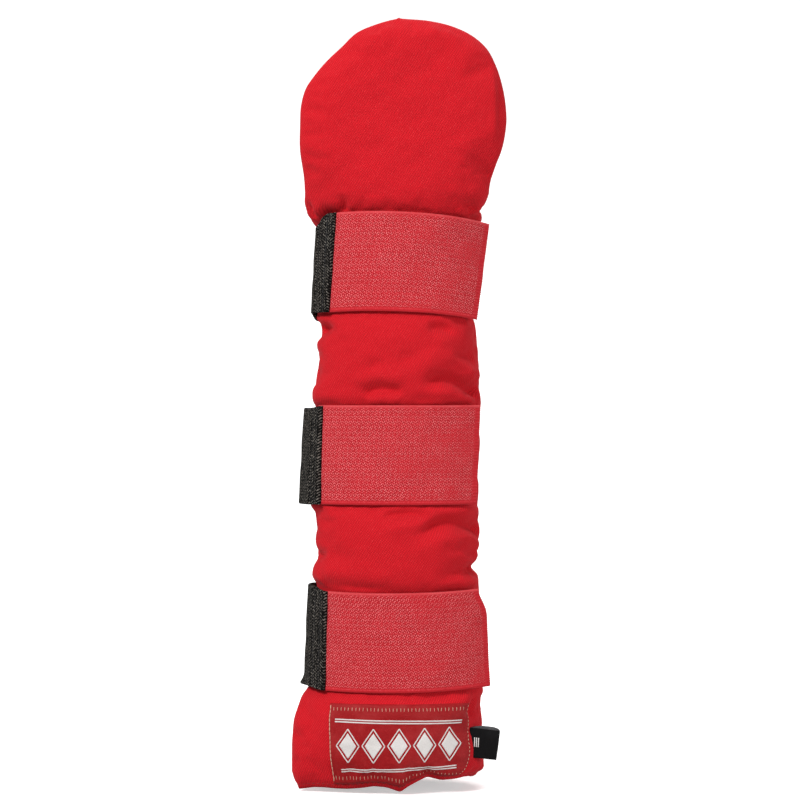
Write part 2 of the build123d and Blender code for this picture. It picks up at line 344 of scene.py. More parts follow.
# Each crease: depth (negative for a ridge), half width, fade at the start, fade at the end,
# then places as seen from the front.
CREASES = [
    (2.8, 2.6, 0.3, 0.4, (14.2, 227.9), (20.4, 229.8), (29.7, 227.3)),
    (4.8, 3.1, 0.25, 0.1, (10.5, 201.2), (20.4, 204.3), (27, 203.7), (33, 201.2), (41, 197)),
    (3.5, 2.4, 0.2, 0.2, (-17, 196.2), (-10.7, 199.3), (-3.2, 199.3), (4, 197.8)),
    (1.0, 1.5, 0.3, 0.3, (4.9, 194.7), (33, 194.8)),
    (1.4, 2.6, 0.4, 0.5, (-5, 213.5), (-9, 211.8), (-15, 206)),
    (1.5, 3.3, 0.4, 0.1, (26, 217.5), (31, 216), (39, 213.5)),
    (1.1, 3.0, 0.4, 0.4, (1, 215), (12, 214.6)),
    (3.8, 2.6, 0.05, 0.6, (-41.5, 229.5), (-37, 229), (-29, 232)),
    (1.5, 3.0, 0.05, 0.7, (-41.5, 207), (-36, 206), (-30, 203)),
    (3.4, 2.3, 0.25, 0.3, (-8, 134), (-1.4, 135.3), (4.9, 136.2), (11, 136.2), (19, 135.7)),
    (4.5, 3.1, 0.3, 0.1, (5.5, 126.2), (11.7, 127.2), (17.3, 129.6), (23.5, 131.6), (30, 131.6),
     (38.4, 129.8), (42, 127)),
    (1.8, 2.3, 0.4, 0.3, (31, 118), (35, 117), (40, 115.5)),
    (3.6, 3.6, 0.5, 0.25, (17, 102), (27, 107), (35, 108.8), (41.9, 108)),
    (1.9, 2.4, 0.1, 0.4, (-37, 102), (-24, 100.8), (-12, 100), (0, 100.5)),
    (2.4, 2.4, 0.05, 0.6, (-41.8, 115), (-37, 115), (-31, 117)),
    (1.2, 3.4, 0.4, 0.4, (-34, 118), (-26, 115), (-18, 114)),
    (1.5, 2.8, 0.5, 0.0, (24.5, 318), (34.5, 315.3), (42, 310), (47.5, 302)),
    (3.0, 2.1, 0.4, 0.35, (29, 295), (33.5, 292.4), (38.5, 288.8)),
    (2.6, 1.7, 0.1, 0.5, (-39.5, 286), (-39, 296)),
    (2.0, 1.7, 0.1, 0.5, (-26.5, 288), (-25.5, 295)),
    (1.3, 3.0, 0.3, 0.3, (-20, 42.5), (10, 44), (34, 44.5)),
    (1.6, 2.5, 0.2, 0.4, (38.5, 45), (37.2, 38), (37.5, 30)),
    (1.3, 3.0, 0.2, 0.5, (-41, 41), (-38, 32), (-37.5, 20)),
    (1.2, 1.6, 0.2, 0.4, (-16.5, 8), (-13, 3)),
    (1.2, 1.7, 0.3, 0.4, (12, 6.5), (16.5, 2.5)),
]


def crease_paths():
    """Each crease's depth, half width and fades, and its path on the map."""
    made = []
    for depth, width, start, end, *points in CREASES:
        # Above the sleeve the flap lies flat, so x is s there.
        flat = [smooth((z - Z_TUBE) / 25) for _, z in points]
        path = [(s_at(x) * (1 - f) + x * f, z) for (x, z), f in zip(points, flat)]
        made.append((depth, width, start, end, curve(path, 5)))
    rng = np.random.default_rng(11)
    # The back has soft creases above and below each strap's anchor.
    for strap in STRAPS.values():
        for side in (-1, 1):
            for _ in range(3):
                s0 = rng.uniform(72, 140)
                z0 = strap["z"] + side * rng.uniform(30, 42)
                reach = rng.uniform(12, 26)
                tilt = rng.uniform(-0.3, 0.3)
                path = [(s0, z0), (s0 + reach / 2, z0 + tilt * 6), (s0 + reach, z0 + tilt * reach)]
                made.append((rng.uniform(0.8, 1.8), rng.uniform(2, 3.4), 0.3, 0.4, curve(path, 5)))
    return made


CREASE_PATHS = crease_paths()


def creases(s, z):
    """A groove along each path, with a low ridge on either side."""
    total = np.zeros(s.shape)
    for depth, width, start, end, path in CREASE_PATHS:
        low, high = path.min(0) - 5 * width, path.max(0) + 5 * width
        near = (s > low[0]) & (s < high[0]) & (z > low[1]) & (z < high[1])
        if not near.any():
            continue
        dist, along = segment_distance(s[near], z[near], path)
        fade = smooth(along / max(start, 1e-3)) * smooth((1 - along) / max(end, 1e-3))
        ridge = peak(dist, 2.6 * width, 1.5 * width)
        total[near] += depth * fade * (0.35 * ridge - np.exp(-((dist / width) ** 1.6)))
    return total


def wave_noise(s, z, size, seed):
    """Smooth noise of the given grain, as a sum of slanted waves."""
    rng = np.random.default_rng(seed)
    total = np.zeros(np.shape(s))
    for _ in range(14):
        angle = rng.uniform(0, PI)
        k = 2 * PI / (size * rng.uniform(0.7, 1.6))
        total += np.sin(k * (s * math.cos(angle) + z * math.sin(angle)) + rng.uniform(0, 2 * PI))
    return total / math.sqrt(14)


def relief(s, z, creased=True):
    """How far the pad's outside stands above its nominal surface."""
    edge = strap_edge(s, z)
    held = smooth((40 - s) / 8) + smooth((s - 128) / 10)
    pressed = (1 - smooth(edge / 6)) * np.clip(held, 0, 1)
    pillow = 1.1 * smooth(edge / 16)
    soft = 0.16 * wave_noise(s, z, 9, 3) + 0.34 * wave_noise(s, z, 26, 5)
    drawn = creases(s, z) * smooth(edge / 2.5) if creased else 0
    return (0.4 + pillow + soft) * (1 - pressed) - 0.5 * pressed + drawn


# ---- Mesh building ----
WELD = 3e-6


def in_scene(name, data):
    """A new object of the scene that holds the given data."""
    obj = bpy.data.objects.new(name, data)
    bpy.context.scene.collection.objects.link(obj)
    return obj


def mesh_object(name, verts, faces, uvs=None, mats=(), mat_index=None, solid=True):
    """An object from points in metres, faces and a UV per point. A solid is welded, and its
    faces are turned outwards."""
    mesh = bpy.data.meshes.new(name)
    mesh.from_pydata(np.asarray(verts, float).tolist(), [], np.asarray(faces).tolist())
    for m in mats:
        mesh.materials.append(m)
    if mat_index is not None:
        mesh.polygons.foreach_set("material_index", np.asarray(mat_index, np.int32))
    mesh.polygons.foreach_set("use_smooth", np.ones(len(mesh.polygons), bool))
    if uvs is not None:
        layer = mesh.uv_layers.new(name="map")
        loops = np.zeros(len(mesh.loops), np.int32)
        mesh.loops.foreach_get("vertex_index", loops)
        layer.data.foreach_set("uv", np.asarray(uvs, np.float32)[loops].ravel())
    if solid:
        work = bmesh.new()
        work.from_mesh(mesh)
        bmesh.ops.remove_doubles(work, verts=work.verts, dist=WELD)
        bmesh.ops.dissolve_degenerate(work, edges=work.edges, dist=WELD / 3)
        bmesh.ops.recalc_face_normals(work, faces=work.faces)
        work.to_mesh(mesh)
        work.free()
    mesh.validate()
    mesh.update()
    return in_scene(name, mesh)


def grid_faces(rows, cols, start=0, flip=False, wrap=False):
    """Quads of a grid of points. wrap joins the last column to the first."""
    i, j = np.meshgrid(np.arange(rows - 1), np.arange(cols if wrap else cols - 1), indexing="ij")
    k = (j + 1) % cols
    quads = np.stack([i * cols + j, i * cols + k, (i + 1) * cols + k, (i + 1) * cols + j], -1)
    quads = quads.reshape(-1, 4) + start
    return quads[:, ::-1] if flip else quads


def slab(name, outer, inner, uvs, mats):
    """Outer and inner grids joined at their edges. The inside takes the second material, where
    there is one."""
    rows, cols = outer.shape[:2]
    n = rows * cols
    faces = [grid_faces(rows, cols), grid_faces(rows, cols, n, flip=True)]
    index = np.arange(n).reshape(rows, cols)
    for wall in (index[0, ::-1], index[-1], index[:, 0], index[::-1, -1]):
        a, b = wall[:-1], wall[1:]
        faces.append(np.stack([a, a + n, b + n, b], -1)[:, ::-1])
    mat_index = np.repeat([0, len(mats) - 1] + [0] * 4, [len(f) for f in faces])
    verts = np.concatenate([outer.reshape(-1, 3), inner.reshape(-1, 3)])
    uvs = np.concatenate([uvs.reshape(-1, 2)] * 2)
    return mesh_object(name, verts, np.concatenate(faces), uvs, mats, mat_index)


def join(name, objects):
    """One object from several of the same make."""
    bpy.ops.object.select_all(action="DESELECT")
    for o in objects:
        o.select_set(True)
    bpy.context.view_layer.objects.active = objects[0]
    bpy.ops.object.join()
    objects[0].name = name
    return objects[0]


# ---- Materials ----
class Nodes:
    """A shader under construction, with the UVs as u and v in millimetres."""

    def __init__(self, name):
        self.mat = bpy.data.materials.new(name)
        self.mat.use_nodes = True
        self.tree = self.mat.node_tree
        self.tree.nodes.clear()
        out = self.new("OutputMaterial")
        self.shader = self.new("BsdfPrincipled")
        self.put(out.inputs["Surface"], self.shader.outputs[0])
        where = self.new("UVMap")
        where.uv_map = "map"
        parts = self.new("SeparateXYZ")
        self.put(parts.inputs[0], where.outputs[0])
        self.u = self.mul(parts.outputs[0], UV_UNIT)
        self.v = self.mul(parts.outputs[1], UV_UNIT)

    def new(self, kind):
        return self.tree.nodes.new("ShaderNode" + kind)

    def put(self, socket, value):
        """Links a socket to another's output, or sets its value."""
        if isinstance(value, bpy.types.NodeSocket):
            self.tree.links.new(value, socket)
        elif isinstance(value, (tuple, list)) and len(value) == 3 and socket.type == "RGBA":
            socket.default_value = (*value, 1)
        else:
            socket.default_value = value

    def math(self, operation, a, b=0.0, c=0.0, clamp=False):
        node = self.new("Math")
        node.operation = operation
        node.use_clamp = clamp
        for socket, value in zip(node.inputs, (a, b, c)):
            self.put(socket, value)
        return node.outputs[0]

    def mul(self, a, b):
        return self.math("MULTIPLY", a, b)

    def add(self, a, b):
        return self.math("ADD", a, b)

    def wave(self, phase, pitch):
        """A sine wave from 0 to 1, with the given pitch in millimetres."""
        angle = self.mul(phase, 2 * PI / pitch)
        return self.math("MULTIPLY_ADD", self.math("SINE", angle), 0.5, 0.5)

    def zigzag(self, value, half):
        """Rises and falls between 0 and half, each over half."""
        turns = self.math("FRACT", self.math("DIVIDE", value, 2 * half))
        return self.mul(self.math("ABSOLUTE", self.math("SUBTRACT", turns, 0.5)), 2 * half)

    def noise(self, scale, detail=3.0, rough=0.5):
        point = self.new("TexCoord").outputs["Object"]
        node = self.new("TexNoise")
        self.put(node.inputs["Vector"], point)
        node.inputs["Scale"].default_value = scale
        node.inputs["Detail"].default_value = detail
        node.inputs["Roughness"].default_value = rough
        return node.outputs[0]

    def mix(self, factor, a, b):
        node = self.new("Mix")
        node.data_type = "RGBA"
        self.put(node.inputs[0], factor)
        self.put(node.inputs[6], a)
        self.put(node.inputs[7], b)
        return node.outputs[2]

    def spread(self, value, low, high):
        """0 below low, 1 above high, straight between."""
        return self.math("DIVIDE", self.math("SUBTRACT", value, low), high - low, clamp=True)

    def bump(self, height, depth, strength=1.0):
        node = self.new("Bump")
        node.inputs["Strength"].default_value = strength
        node.inputs["Distance"].default_value = depth * MM
        self.put(node.inputs["Height"], height)
        self.put(self.shader.inputs["Normal"], node.outputs[0])

    def finish(self, color, rough, sheen=0.0, tint=(1, 1, 1), specular=0.5, sheen_rough=0.5):
        for key, value in (("Base Color", color), ("Roughness", rough), ("Sheen Weight", sheen),
                           ("Sheen Roughness", sheen_rough), ("Sheen Tint", tint),
                           ("Specular IOR Level", specular)):
            self.put(self.shader.inputs[key], value)
        return self.mat


def scaled(color, k):
    return tuple(min(1.0, c * k) for c in color)


RED = (0.545, 0.0078, 0.0150)


def twill(name, color, nap=0.12):
    """Twill: slanted ribs crossed by picks, with pale flecks of thread and a drift of colour."""
    n = Nodes(name)
    slant = n.add(n.mul(n.u, 0.84), n.mul(n.v, -0.54))
    cross = n.add(n.mul(n.u, 0.62), n.mul(n.v, 0.78))
    wander = n.mul(n.noise(420, 2.0), 0.9)
    ribs = n.wave(n.add(slant, wander), 1.02)
    picks = n.wave(n.add(cross, wander), 0.86)
    weave = n.add(n.mul(ribs, 0.6), n.mul(picks, 0.4))
    grain = n.noise(1900, 3.0, 0.65)
    drift = n.noise(42, 4.0, 0.6)
    shade = n.mix(n.spread(weave, 0.1, 0.9), scaled(color, 0.76), scaled(color, 1.19))
    flecks = n.mul(n.spread(grain, 0.52, 0.74), n.spread(weave, 0.3, 0.8))
    shade = n.mix(n.mul(flecks, 0.6), shade, (min(1, color[0] * 1.3), 0.07, 0.075))
    shade = n.mix(n.mul(n.spread(grain, 0.5, 0.3), 0.34), shade, scaled(color, 0.66))
    shade = n.mix(n.mul(n.spread(drift, 0.35, 0.7), 0.16), shade, scaled(color, 0.82))
    n.bump(n.add(weave, n.mul(grain, 0.7)), 0.11, 0.9)
    return n.finish(shade, 0.9, nap, (1.0, 0.25, 0.28), 0.12)


END_ZONE = 3.4  # width of the fused zone along the end of a tape


def herringbone():
    """The woven back of the hook tape: columns of small chevrons, plain edges, a fused end. v runs
    across it from -25 to 25, and u along it up to 0 at its end."""
    # The red of the plain lower edge and the fused end, also used as painted shade.
    plain_red_and_painted_shade = (0.53, 0.014, 0.023)
    n = Nodes("hook_tape_back")
    grain = n.noise(1700, 3.0, 0.7)
    patches = n.noise(70, 4.0, 0.62)
    wander = n.mul(n.noise(120, 2.0), 0.7)
    lean = n.zigzag(n.add(n.u, wander), 1.1)
    rib = n.wave(n.math("MULTIPLY_ADD", lean, 1.0, n.v), 1.3)
    dots = n.wave(n.math("MULTIPLY_ADD", n.zigzag(n.v, 1.3), 0.6, n.u), 1.1)
    weave = n.add(n.mul(rib, 0.6), n.mul(dots, 0.4))
    saw = n.mul(n.wave(n.v, 1.6), 0.9)
    end = n.spread(n.add(n.u, saw), -END_ZONE, -END_ZONE + 1.2)
    low_edge = n.spread(n.v, -22.4, -23.6)
    high_edge = n.spread(n.v, 23.5, 23.9)
    plain = n.math("MAXIMUM", n.math("MAXIMUM", end, low_edge), high_edge)
    flat = n.math("MULTIPLY_ADD", n.wave(n.v, 1.6), 0.45, 0.2)
    weave = n.add(n.mul(weave, n.math("SUBTRACT", 1.0, plain)), n.mul(flat, plain))
    lit = n.add(weave, n.mul(n.math("SUBTRACT", grain, 0.5), 1.6))
    shade = n.mix(n.spread(lit, 0.2, 0.75), (0.33, 0.007, 0.011), (0.60, 0.028, 0.040))
    shade = n.mix(n.mul(n.spread(lit, 0.62, 1.0), 0.85), shade, (0.83, 0.22, 0.23))
    shade = n.mix(n.mul(n.math("MAXIMUM", end, low_edge), 0.6), shade, plain_red_and_painted_shade)
    shade = n.mix(n.mul(high_edge, 0.6), shade, (0.66, 0.075, 0.085))
    # The pale threads thin out in patches, and more and more towards the end: painted shade for the
    # tape's right end, which lies away from the light.
    patches_and_painted_shade = n.mul(n.spread(patches, 0.42, 0.62), n.spread(n.u, -95, 0))
    shade = n.mix(n.mul(patches_and_painted_shade, 0.62), shade, plain_red_and_painted_shade)
    n.bump(n.add(weave, n.mul(grain, 0.6)), 0.17, 1.0)
    return n.finish(shade, 0.85, 0.12, (1.0, 0.45, 0.45), 0.15)


def hooks():
    """The hook side of the tape: rows of tiny hooks."""
    n = Nodes("hook_side")
    dots = n.mul(n.wave(n.u, 1.3), n.wave(n.v, 1.6))
    shade = n.mix(dots, scaled(RED, 0.55), (0.66, 0.05, 0.06))
    n.bump(dots, 0.5, 1.0)
    return n.finish(shade, 0.55, 0.1, (1, 0.7, 0.7), 0.4)


def pile():
    """Looped pile: a matted, cloudy nap."""
    n = Nodes("loop_pile")
    color = (0.46, 0.012, 0.02)
    loops = n.noise(1500, 5.0, 0.7)
    clumps = n.noise(260, 3.0, 0.6)
    height = n.add(loops, n.mul(clumps, 0.8))
    shade = n.mix(n.spread(height, 0.6, 1.2), scaled(color, 0.6),
                  (color[0] * 1.1, color[1] + 0.05, color[2] + 0.05))
    n.bump(height, 0.6, 1.0)
    return n.finish(shade, 0.95, 0.4, (1.0, 0.4, 0.4), 0.12, 0.6)


def elastic():
    """Black elastic: slanted stitches in long cords, with pale specks of thread."""
    n = Nodes("black_elastic")
    lean = n.zigzag(n.u, 1.5)
    rib = n.wave(n.add(n.v, n.mul(lean, 1.3)), 1.5)
    cords = n.wave(n.u, 1.5)
    grain = n.noise(1000, 3.0, 0.7)
    weave = n.add(n.mul(rib, 0.75), n.mul(cords, 0.25))
    lit = n.add(weave, n.mul(n.math("SUBTRACT", grain, 0.5), 2.4))
    shade = n.mix(n.spread(lit, 0.35, 0.8), (0.0022, 0.002, 0.002), (0.015, 0.0138, 0.0122))
    shade = n.mix(n.spread(lit, 0.76, 0.98), shade, (0.17, 0.154, 0.134))
    n.bump(weave, 0.3, 1.0)
    return n.finish(shade, 0.85, 0.0, (0.8, 0.78, 0.75), 0.08)


def satin(name, color, light, pitch, gloss):
    """Woven satin ribbon: fine long threads with a soft gloss, and patches of painted sheen."""
    n = Nodes(name)
    threads = n.add(n.wave(n.u, pitch), n.mul(n.wave(n.v, pitch * 0.8), 0.4))
    drift = n.noise(70, 3.0, 0.6)
    fine = n.noise(1500, 3.0, 0.6)
    shade = n.mix(n.spread(n.add(threads, fine), 0.5, 1.9), scaled(color, 0.7), color)
    # Lighter flecks and drifting patches of the second colour are painted sheen.
    shade = n.mix(n.mul(n.spread(fine, 0.52, 0.75), 0.3), shade, light)
    shade = n.mix(n.mul(n.spread(drift, 0.5, 0.75), 0.35), shade, light)
    n.bump(n.add(threads, fine), 0.06, 0.8)
    return n.finish(shade, 0.5, 0.04, (1, 0.6, 0.6), gloss)


def thread(name, color):
    """Sewing thread: twisted strands."""
    n = Nodes(name)
    twist = n.noise(3000, 2.0)
    shade = n.mix(twist, scaled(color, 0.7), scaled(color, 1.1))
    n.bump(twist, 0.06, 0.8)
    return n.finish(shade, 0.65, 0.1, (1, 1, 1), 0.25)


COVER = twill("cover_twill", RED)
LINING = twill("lining_twill", (0.45, 0.008, 0.014), 0.25)
TAPE = herringbone()
HOOKS = hooks()
PILE = pile()
ELASTIC = elastic()
# Each satin's second colour is its painted sheen.
LABEL = satin("label_satin", (0.35, 0.006, 0.009), (0.44, 0.045, 0.045), 0.42, 0.14)
TAB = satin("tab_satin", (0.003, 0.003, 0.0035), (0.012, 0.012, 0.013), 0.5, 0.08)
TAB_REVERSE = satin("tab_reverse", (0.07, 0.07, 0.075), (0.2, 0.2, 0.2), 0.5, 0.08)
RED_THREAD = thread("red_thread", (0.42, 0.010, 0.016))
BLACK_THREAD = thread("black_thread", (0.010, 0.009, 0.009))
PALE_THREAD = thread("pale_thread", (0.66, 0.38, 0.28))
WHITE_THREAD = thread("white_thread", (0.72, 0.69, 0.67))


def settle(piece, body=None, nodes=None):
    """Gives a piece its body, if one is given, and hides the CAD nodes it replaces: the one
    of its own name if none are given."""
    if body:
        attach(piece, body)
    if nodes is None:
        nodes = (piece.name.partition(".")[0],)
    if nodes:
        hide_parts(*nodes)


# ---- The pad ----
RIM = 4.5
HEM_SEAM = 2.3  # height of the hem's stitches
LIP = S_LEFT - 1.3  # the slit's edges, on the front and on the back
BACK_LIP = 3 * S_LEFT - 1.3
FRONT_WIDTH = 104.0


def rim_steps(n=8, radius=RIM):
    """Distances from an edge that draw a round rim evenly."""
    return radius * (1 - np.cos(np.linspace(0, PI / 2, n)))


def spaced(length, step):
    """Places along a length, close together at both ends."""
    rim = rim_steps()
    middle = np.linspace(RIM, length - RIM, max(2, int(round((length - 2 * RIM) / step)) + 1))
    return np.concatenate([rim[:-1], middle, (length - rim[:-1])[::-1]])


# The left and right sides of the flap's outline, from the neck up, as (z, s).
HEAD_LEFT = curve([(Z_NECK, -56.4), (288.5, -55.4), (291.5, -52.2), (296, -50.6), (303, -49.6),
                   (313, -49.8), (331, -49.6), (342, -49.0), (350, -46.6), (357, -41.6),
                   (364, -35.2), (371, -27.4), (377.5, -20.4), (382, -10.0), (384.6, -1.0)])
HEAD_RIGHT = curve([(Z_NECK, S_SEAM), (290, 51.4), (294, 51.2), (301, 50.7), (311, 52.8),
                    (321, 55.4), (334, 57.4), (344, 56.7), (353, 54.8), (362, 51.6), (370, 47.0),
                    (376, 40.0), (380.5, 30.5), (384.0, 15.0), (384.9, 4.0)])
HEAD_TOP_S = 1.5


def head_edge(outline, z):
    """The s of one side of the head. Both sides meet at the top."""
    top = smooth((z - 384.0) / 1.5)
    return np.interp(z, *outline.T) * (1 - top) + HEAD_TOP_S * top


TUBE_ROWS = spaced(Z_TUBE, 1.3)
HEAD_ROWS = Z_TUBE + np.concatenate([
    np.linspace(0, 80, 62)[1:],
    (Z_HEAD - Z_TUBE) - (Z_HEAD - Z_TUBE - 80) * np.linspace(1, 0, 30)[1:] ** 2,
])

# The shift of the puckered hem: s, up.
hem_line = softened([
    (-62, -4.0), (-52, -3.4), (-44, -2.0), (-38, -1.9), (-33, -2.2), (-26, -2.2), (-19, -1.5),
    (-11.5, -0.3), (-5, -0.8), (-1.5, -1.9), (2.4, -3.2), (6, -0.6), (11, 1.9), (16.5, 4.4),
    (24.5, 2.3), (34, 2.4), (40, 2.8), (48, 2.4), (57, 1.0), (66, 0.5), (80, 0.2), (96, -0.5),
    (112, 0.6), (130, -0.6), (150, 0.3), (174, -0.6),
], 1.1)


def hem_wave(s, z):
    """How far the cloth near the hem is shifted up."""
    return hem_line(s)[0] * (1 - smooth(z / 12))


SWELL_STEP = 2.4
SWELL_S = np.arange(-LIP, BACK_LIP + SWELL_STEP, SWELL_STEP)
SWELL_Z = np.arange(0, Z_HEAD + SWELL_STEP, SWELL_STEP)
SWELL = np.zeros((len(SWELL_Z), len(SWELL_S), 3))


def swell_at(s, z):
    """How far the cloth simulation moved the skin at (s, z), in metres."""
    return between(SWELL, (s - SWELL_S[0]) / SWELL_STEP, z / SWELL_STEP)


def skin(s, z, dist=None, lift=0.0, creased=True):
    """The pad's outside at a distance from its rim, by default the hem, raised by lift."""
    s, z = np.broadcast_arrays(np.asarray(s, float), np.asarray(z, float))
    dist = z if dist is None else dist
    full = rounded(dist / RIM)
    groove = 0.6 * peak(z, HEM_SEAM, 0.9) * smooth(z)
    rise = relief(s, z, creased) * smooth(dist / 7)
    points = place(s, z + hem_wave(s, z), PAD / 2 + PAD / 2 * full - groove + rise + lift)
    return points + swell_at(s, z) * smooth(dist / 6)[..., None]


def pad_panel(name, s, z, outline):
    """A padded panel over a grid of the map, rounded off towards the outline."""
    dist, _ = segment_distance(s, z, outline)
    full = rounded(dist / RIM)
    quilt = 0.25 * np.abs(wave_noise(s, z, 18, 9)) * smooth(dist / 7)
    inner = place(s, z + hem_wave(s, z), PAD / 2 - PAD / 2 * full - quilt)
    return slab(name, skin(s, z, dist), inner, uv(s, z), (COVER, LINING))


def rim_distance(s, z):
    """Distance inside the pad's rim, roughly, on the whole unrolled pad."""
    left = np.where(z < Z_NECK, -LIP, head_edge(HEAD_LEFT, z))
    right = np.where(z <= Z_TUBE, BACK_LIP, head_edge(HEAD_RIGHT, z))
    mouth = np.where(s > S_SEAM, Z_TUBE - z, Z_HEAD - z)
    return np.min([s - left, right - s, z, mouth], axis=0)


SIM_SCALE = 10.0  # the sheet is simulated this much larger
SIM_FRAMES = 24
SWELL_CAP = 3.2  # the furthest that a point may move, in millimetres


def swell_cloth():
    """Simulates the cover as cloth swelled by pressure, held under the straps and along its rims.
    The result is kept in SWELL."""
    s, z = np.meshgrid(SWELL_S, SWELL_Z)
    rim = rim_distance(s, z)
    start = skin(s, z, np.clip(rim, 0, None), creased=False)
    strapped = (strap_edge(s, z) < 0.8) & ((s < 38) | (s > 132))
    held = (rim < 3.5) | strapped
    quads = grid_faces(len(SWELL_Z), len(SWELL_S))
    quads = quads[(rim.ravel()[quads] > -1.5).all(axis=1)]
    sheet = mesh_object("swell", start.reshape(-1, 3) * SIM_SCALE, quads, solid=False)
    group = sheet.vertex_groups.new(name="held")
    group.add(np.flatnonzero(held).tolist(), 1.0, "REPLACE")
    cloth = sheet.modifiers.new("Cloth", "CLOTH")
    rules = cloth.settings
    rules.quality = 6
    rules.mass = 0.3
    rules.tension_stiffness = rules.compression_stiffness = 20
    rules.shear_stiffness = 8
    rules.bending_stiffness = 1.2
    rules.use_pressure = True
    rules.uniform_pressure_force = 3.0
    rules.shrink_min = -0.035
    rules.vertex_group_mass = "held"
    rules.effector_weights.gravity = 0
    cloth.collision_settings.use_collision = False
    cloth.point_cache.frame_start = 1
    cloth.point_cache.frame_end = SIM_FRAMES
    scene = bpy.context.scene
    for frame_number in range(1, SIM_FRAMES + 1):
        scene.frame_set(frame_number)
    moved = sheet.evaluated_get(bpy.context.evaluated_depsgraph_get()).to_mesh()
    after = np.zeros(len(moved.vertices) * 3)
    moved.vertices.foreach_get("co", after)
    delta = after.reshape(start.shape) / SIM_SCALE - start
    length = np.linalg.norm(delta, axis=-1, keepdims=True)
    delta *= np.minimum(1, SWELL_CAP * MM / np.maximum(length, 1e-9))
    delta[held] = 0
    SWELL[:] = delta
    bpy.data.objects.remove(sheet)
    scene.frame_set(1)


swell_cloth()


def front_panel():
    """The front from the slit to the fold piece, running on into the flap."""
    rows = np.concatenate([TUBE_ROWS, HEAD_ROWS])
    across = spaced(FRONT_WIDTH, 1.3) / FRONT_WIDTH
    z = np.repeat(rows[:, None], len(across), axis=1)
    corner = 4.4 * np.clip(1 - rows / 7, 0, 1) ** 1.2
    left = np.where(rows < Z_NECK, -LIP + corner, head_edge(HEAD_LEFT, rows))
    right = np.where(rows <= Z_TUBE, S_SEAM, head_edge(HEAD_RIGHT, rows))
    s = left[:, None] + across[None] * (right - left)[:, None]
    above = rows >= Z_TUBE
    outline = np.concatenate([
        np.stack([right[above], rows[above]], -1),
        np.stack([left, rows], -1)[::-1],
        [(S_SEAM, 0.0)],
    ])
    return pad_panel("pad_front_and_flap", s, z, outline)


def fold_panel():
    s, z = np.meshgrid(np.linspace(S_SEAM, S_BACK_SEAM, 14), TUBE_ROWS)
    far = 400.0
    rim = [(-far, 0.0), (far, 0.0), (far, Z_TUBE), (-far, Z_TUBE)]
    return pad_panel("pad_fold", s, z, rim)


def back_panel():
    across = BACK_LIP - spaced(2 * (BACK_LIP - S_BACK_SEAM), 1.3)
    across = np.sort(across[across > S_BACK_SEAM + 0.4])
    s, z = np.meshgrid(np.concatenate([[S_BACK_SEAM], across]), TUBE_ROWS)
    start = S_BACK_SEAM - 20
    rim = [(start, 0.0), (BACK_LIP, 0.0), (BACK_LIP, Z_TUBE), (start, Z_TUBE)]
    return pad_panel("pad_back", s, z, rim)


pad_front = front_panel()
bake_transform(pad_front)
settle(pad_front, nodes=("front_cover", "front_padding", "front_lining",
                                         "flap_cover", "flap_padding", "flap_lining"))

pad_fold = fold_panel()
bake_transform(pad_fold)
settle(pad_fold, nodes=())

settle(back_panel(), "back", ("back_cover", "back_padding", "back_lining"))


# ---- Stitches ----
def stitch_line(name, path, lay, mat, pitch, length, radius=0.26):
    """Stitches of thread along a path, sunk at both ends. lay(s, z, h) gives a point h above the
    cloth."""
    path = np.asarray(path, float)
    knots = np.concatenate([[0], np.cumsum(np.hypot(*np.diff(path, axis=0).T))])
    count = max(1, int(round(knots[-1] / pitch)))
    ring = np.linspace(0, 2 * PI, 6, endpoint=False)
    along = np.array([-0.5, -0.42, -0.2, 0.2, 0.42, 0.5])
    size = np.array([0.25, 0.75, 1.0, 1.0, 0.75, 0.25])[:, None]
    sink = np.array([-0.9, -0.35, 0.0, 0.0, -0.35, -0.9])[:, None]
    ss, zz, hh, faces = [], [], [], []
    for k in range(count):
        at = (k + 0.5) * knots[-1] / count + along * length
        s = np.interp(at, knots, path[:, 0])
        z = np.interp(at, knots, path[:, 1])
        norm = max(1e-9, math.hypot(s[-1] - s[0], z[-1] - z[0]))
        side_s, side_z = -(z[-1] - z[0]) / norm, (s[-1] - s[0]) / norm
        ss.append(s[:, None] + side_s * np.cos(ring) * radius * size)
        zz.append(z[:, None] + side_z * np.cos(ring) * radius * size)
        hh.append((np.sin(ring) * size + sink + 0.35) * radius)
        start = k * 36
        faces.append(grid_faces(6, 6, start, wrap=True))
        for first in (start, start + 30):
            faces.append(np.array([[0, 1, 2, 3], [0, 3, 4, 5]]) + first)
    verts = lay(np.concatenate(ss), np.concatenate(zz), np.concatenate(hh)).reshape(-1, 3)
    return mesh_object(name, verts, np.concatenate(faces), np.zeros((len(verts), 2)), (mat,))


def on_skin(s, z, h):
    return skin(s, z, None, h)


for body, start, end in (("front", -52, S_SEAM), ("back", S_BACK_SEAM, BACK_LIP - 5)):
    path = np.linspace((start, HEM_SEAM), (end, HEM_SEAM), 60)
    row = stitch_line(f"{body}_hem_stitches", path, on_skin, RED_THREAD, 2.6, 1.9, 0.24)
    settle(row, body)


# ---- Straps ----
TAPE_IN, TAPE_OUT = 10.25, 11.3
TAPE_CURL = 62.0  # the radius that the tape bends to past the front's end
ELASTIC_IN, ELASTIC_OUT = 10.35, 11.7
FOLD_THICK = 2.1  # how much the fold adds to the elastic's hem
PATCH_LONG, PATCH_TALL = 24.0, 23.0  # half the loop patch's size
HEM_RIGHT, HEM_LEFT = -36.0, -44.6  # the elastic's folded hem
TONGUE_LEFT = -51.6  # the end of the part that bends as the strap peels
HEM_ROWS = (-39.0, -42.8)  # the stitches through the folded elastic
ANCHOR_END = -S_ROUND + 130.0  # the elastic is sewn to the back between these two
ANCHOR_START = -S_ROUND + 144.0


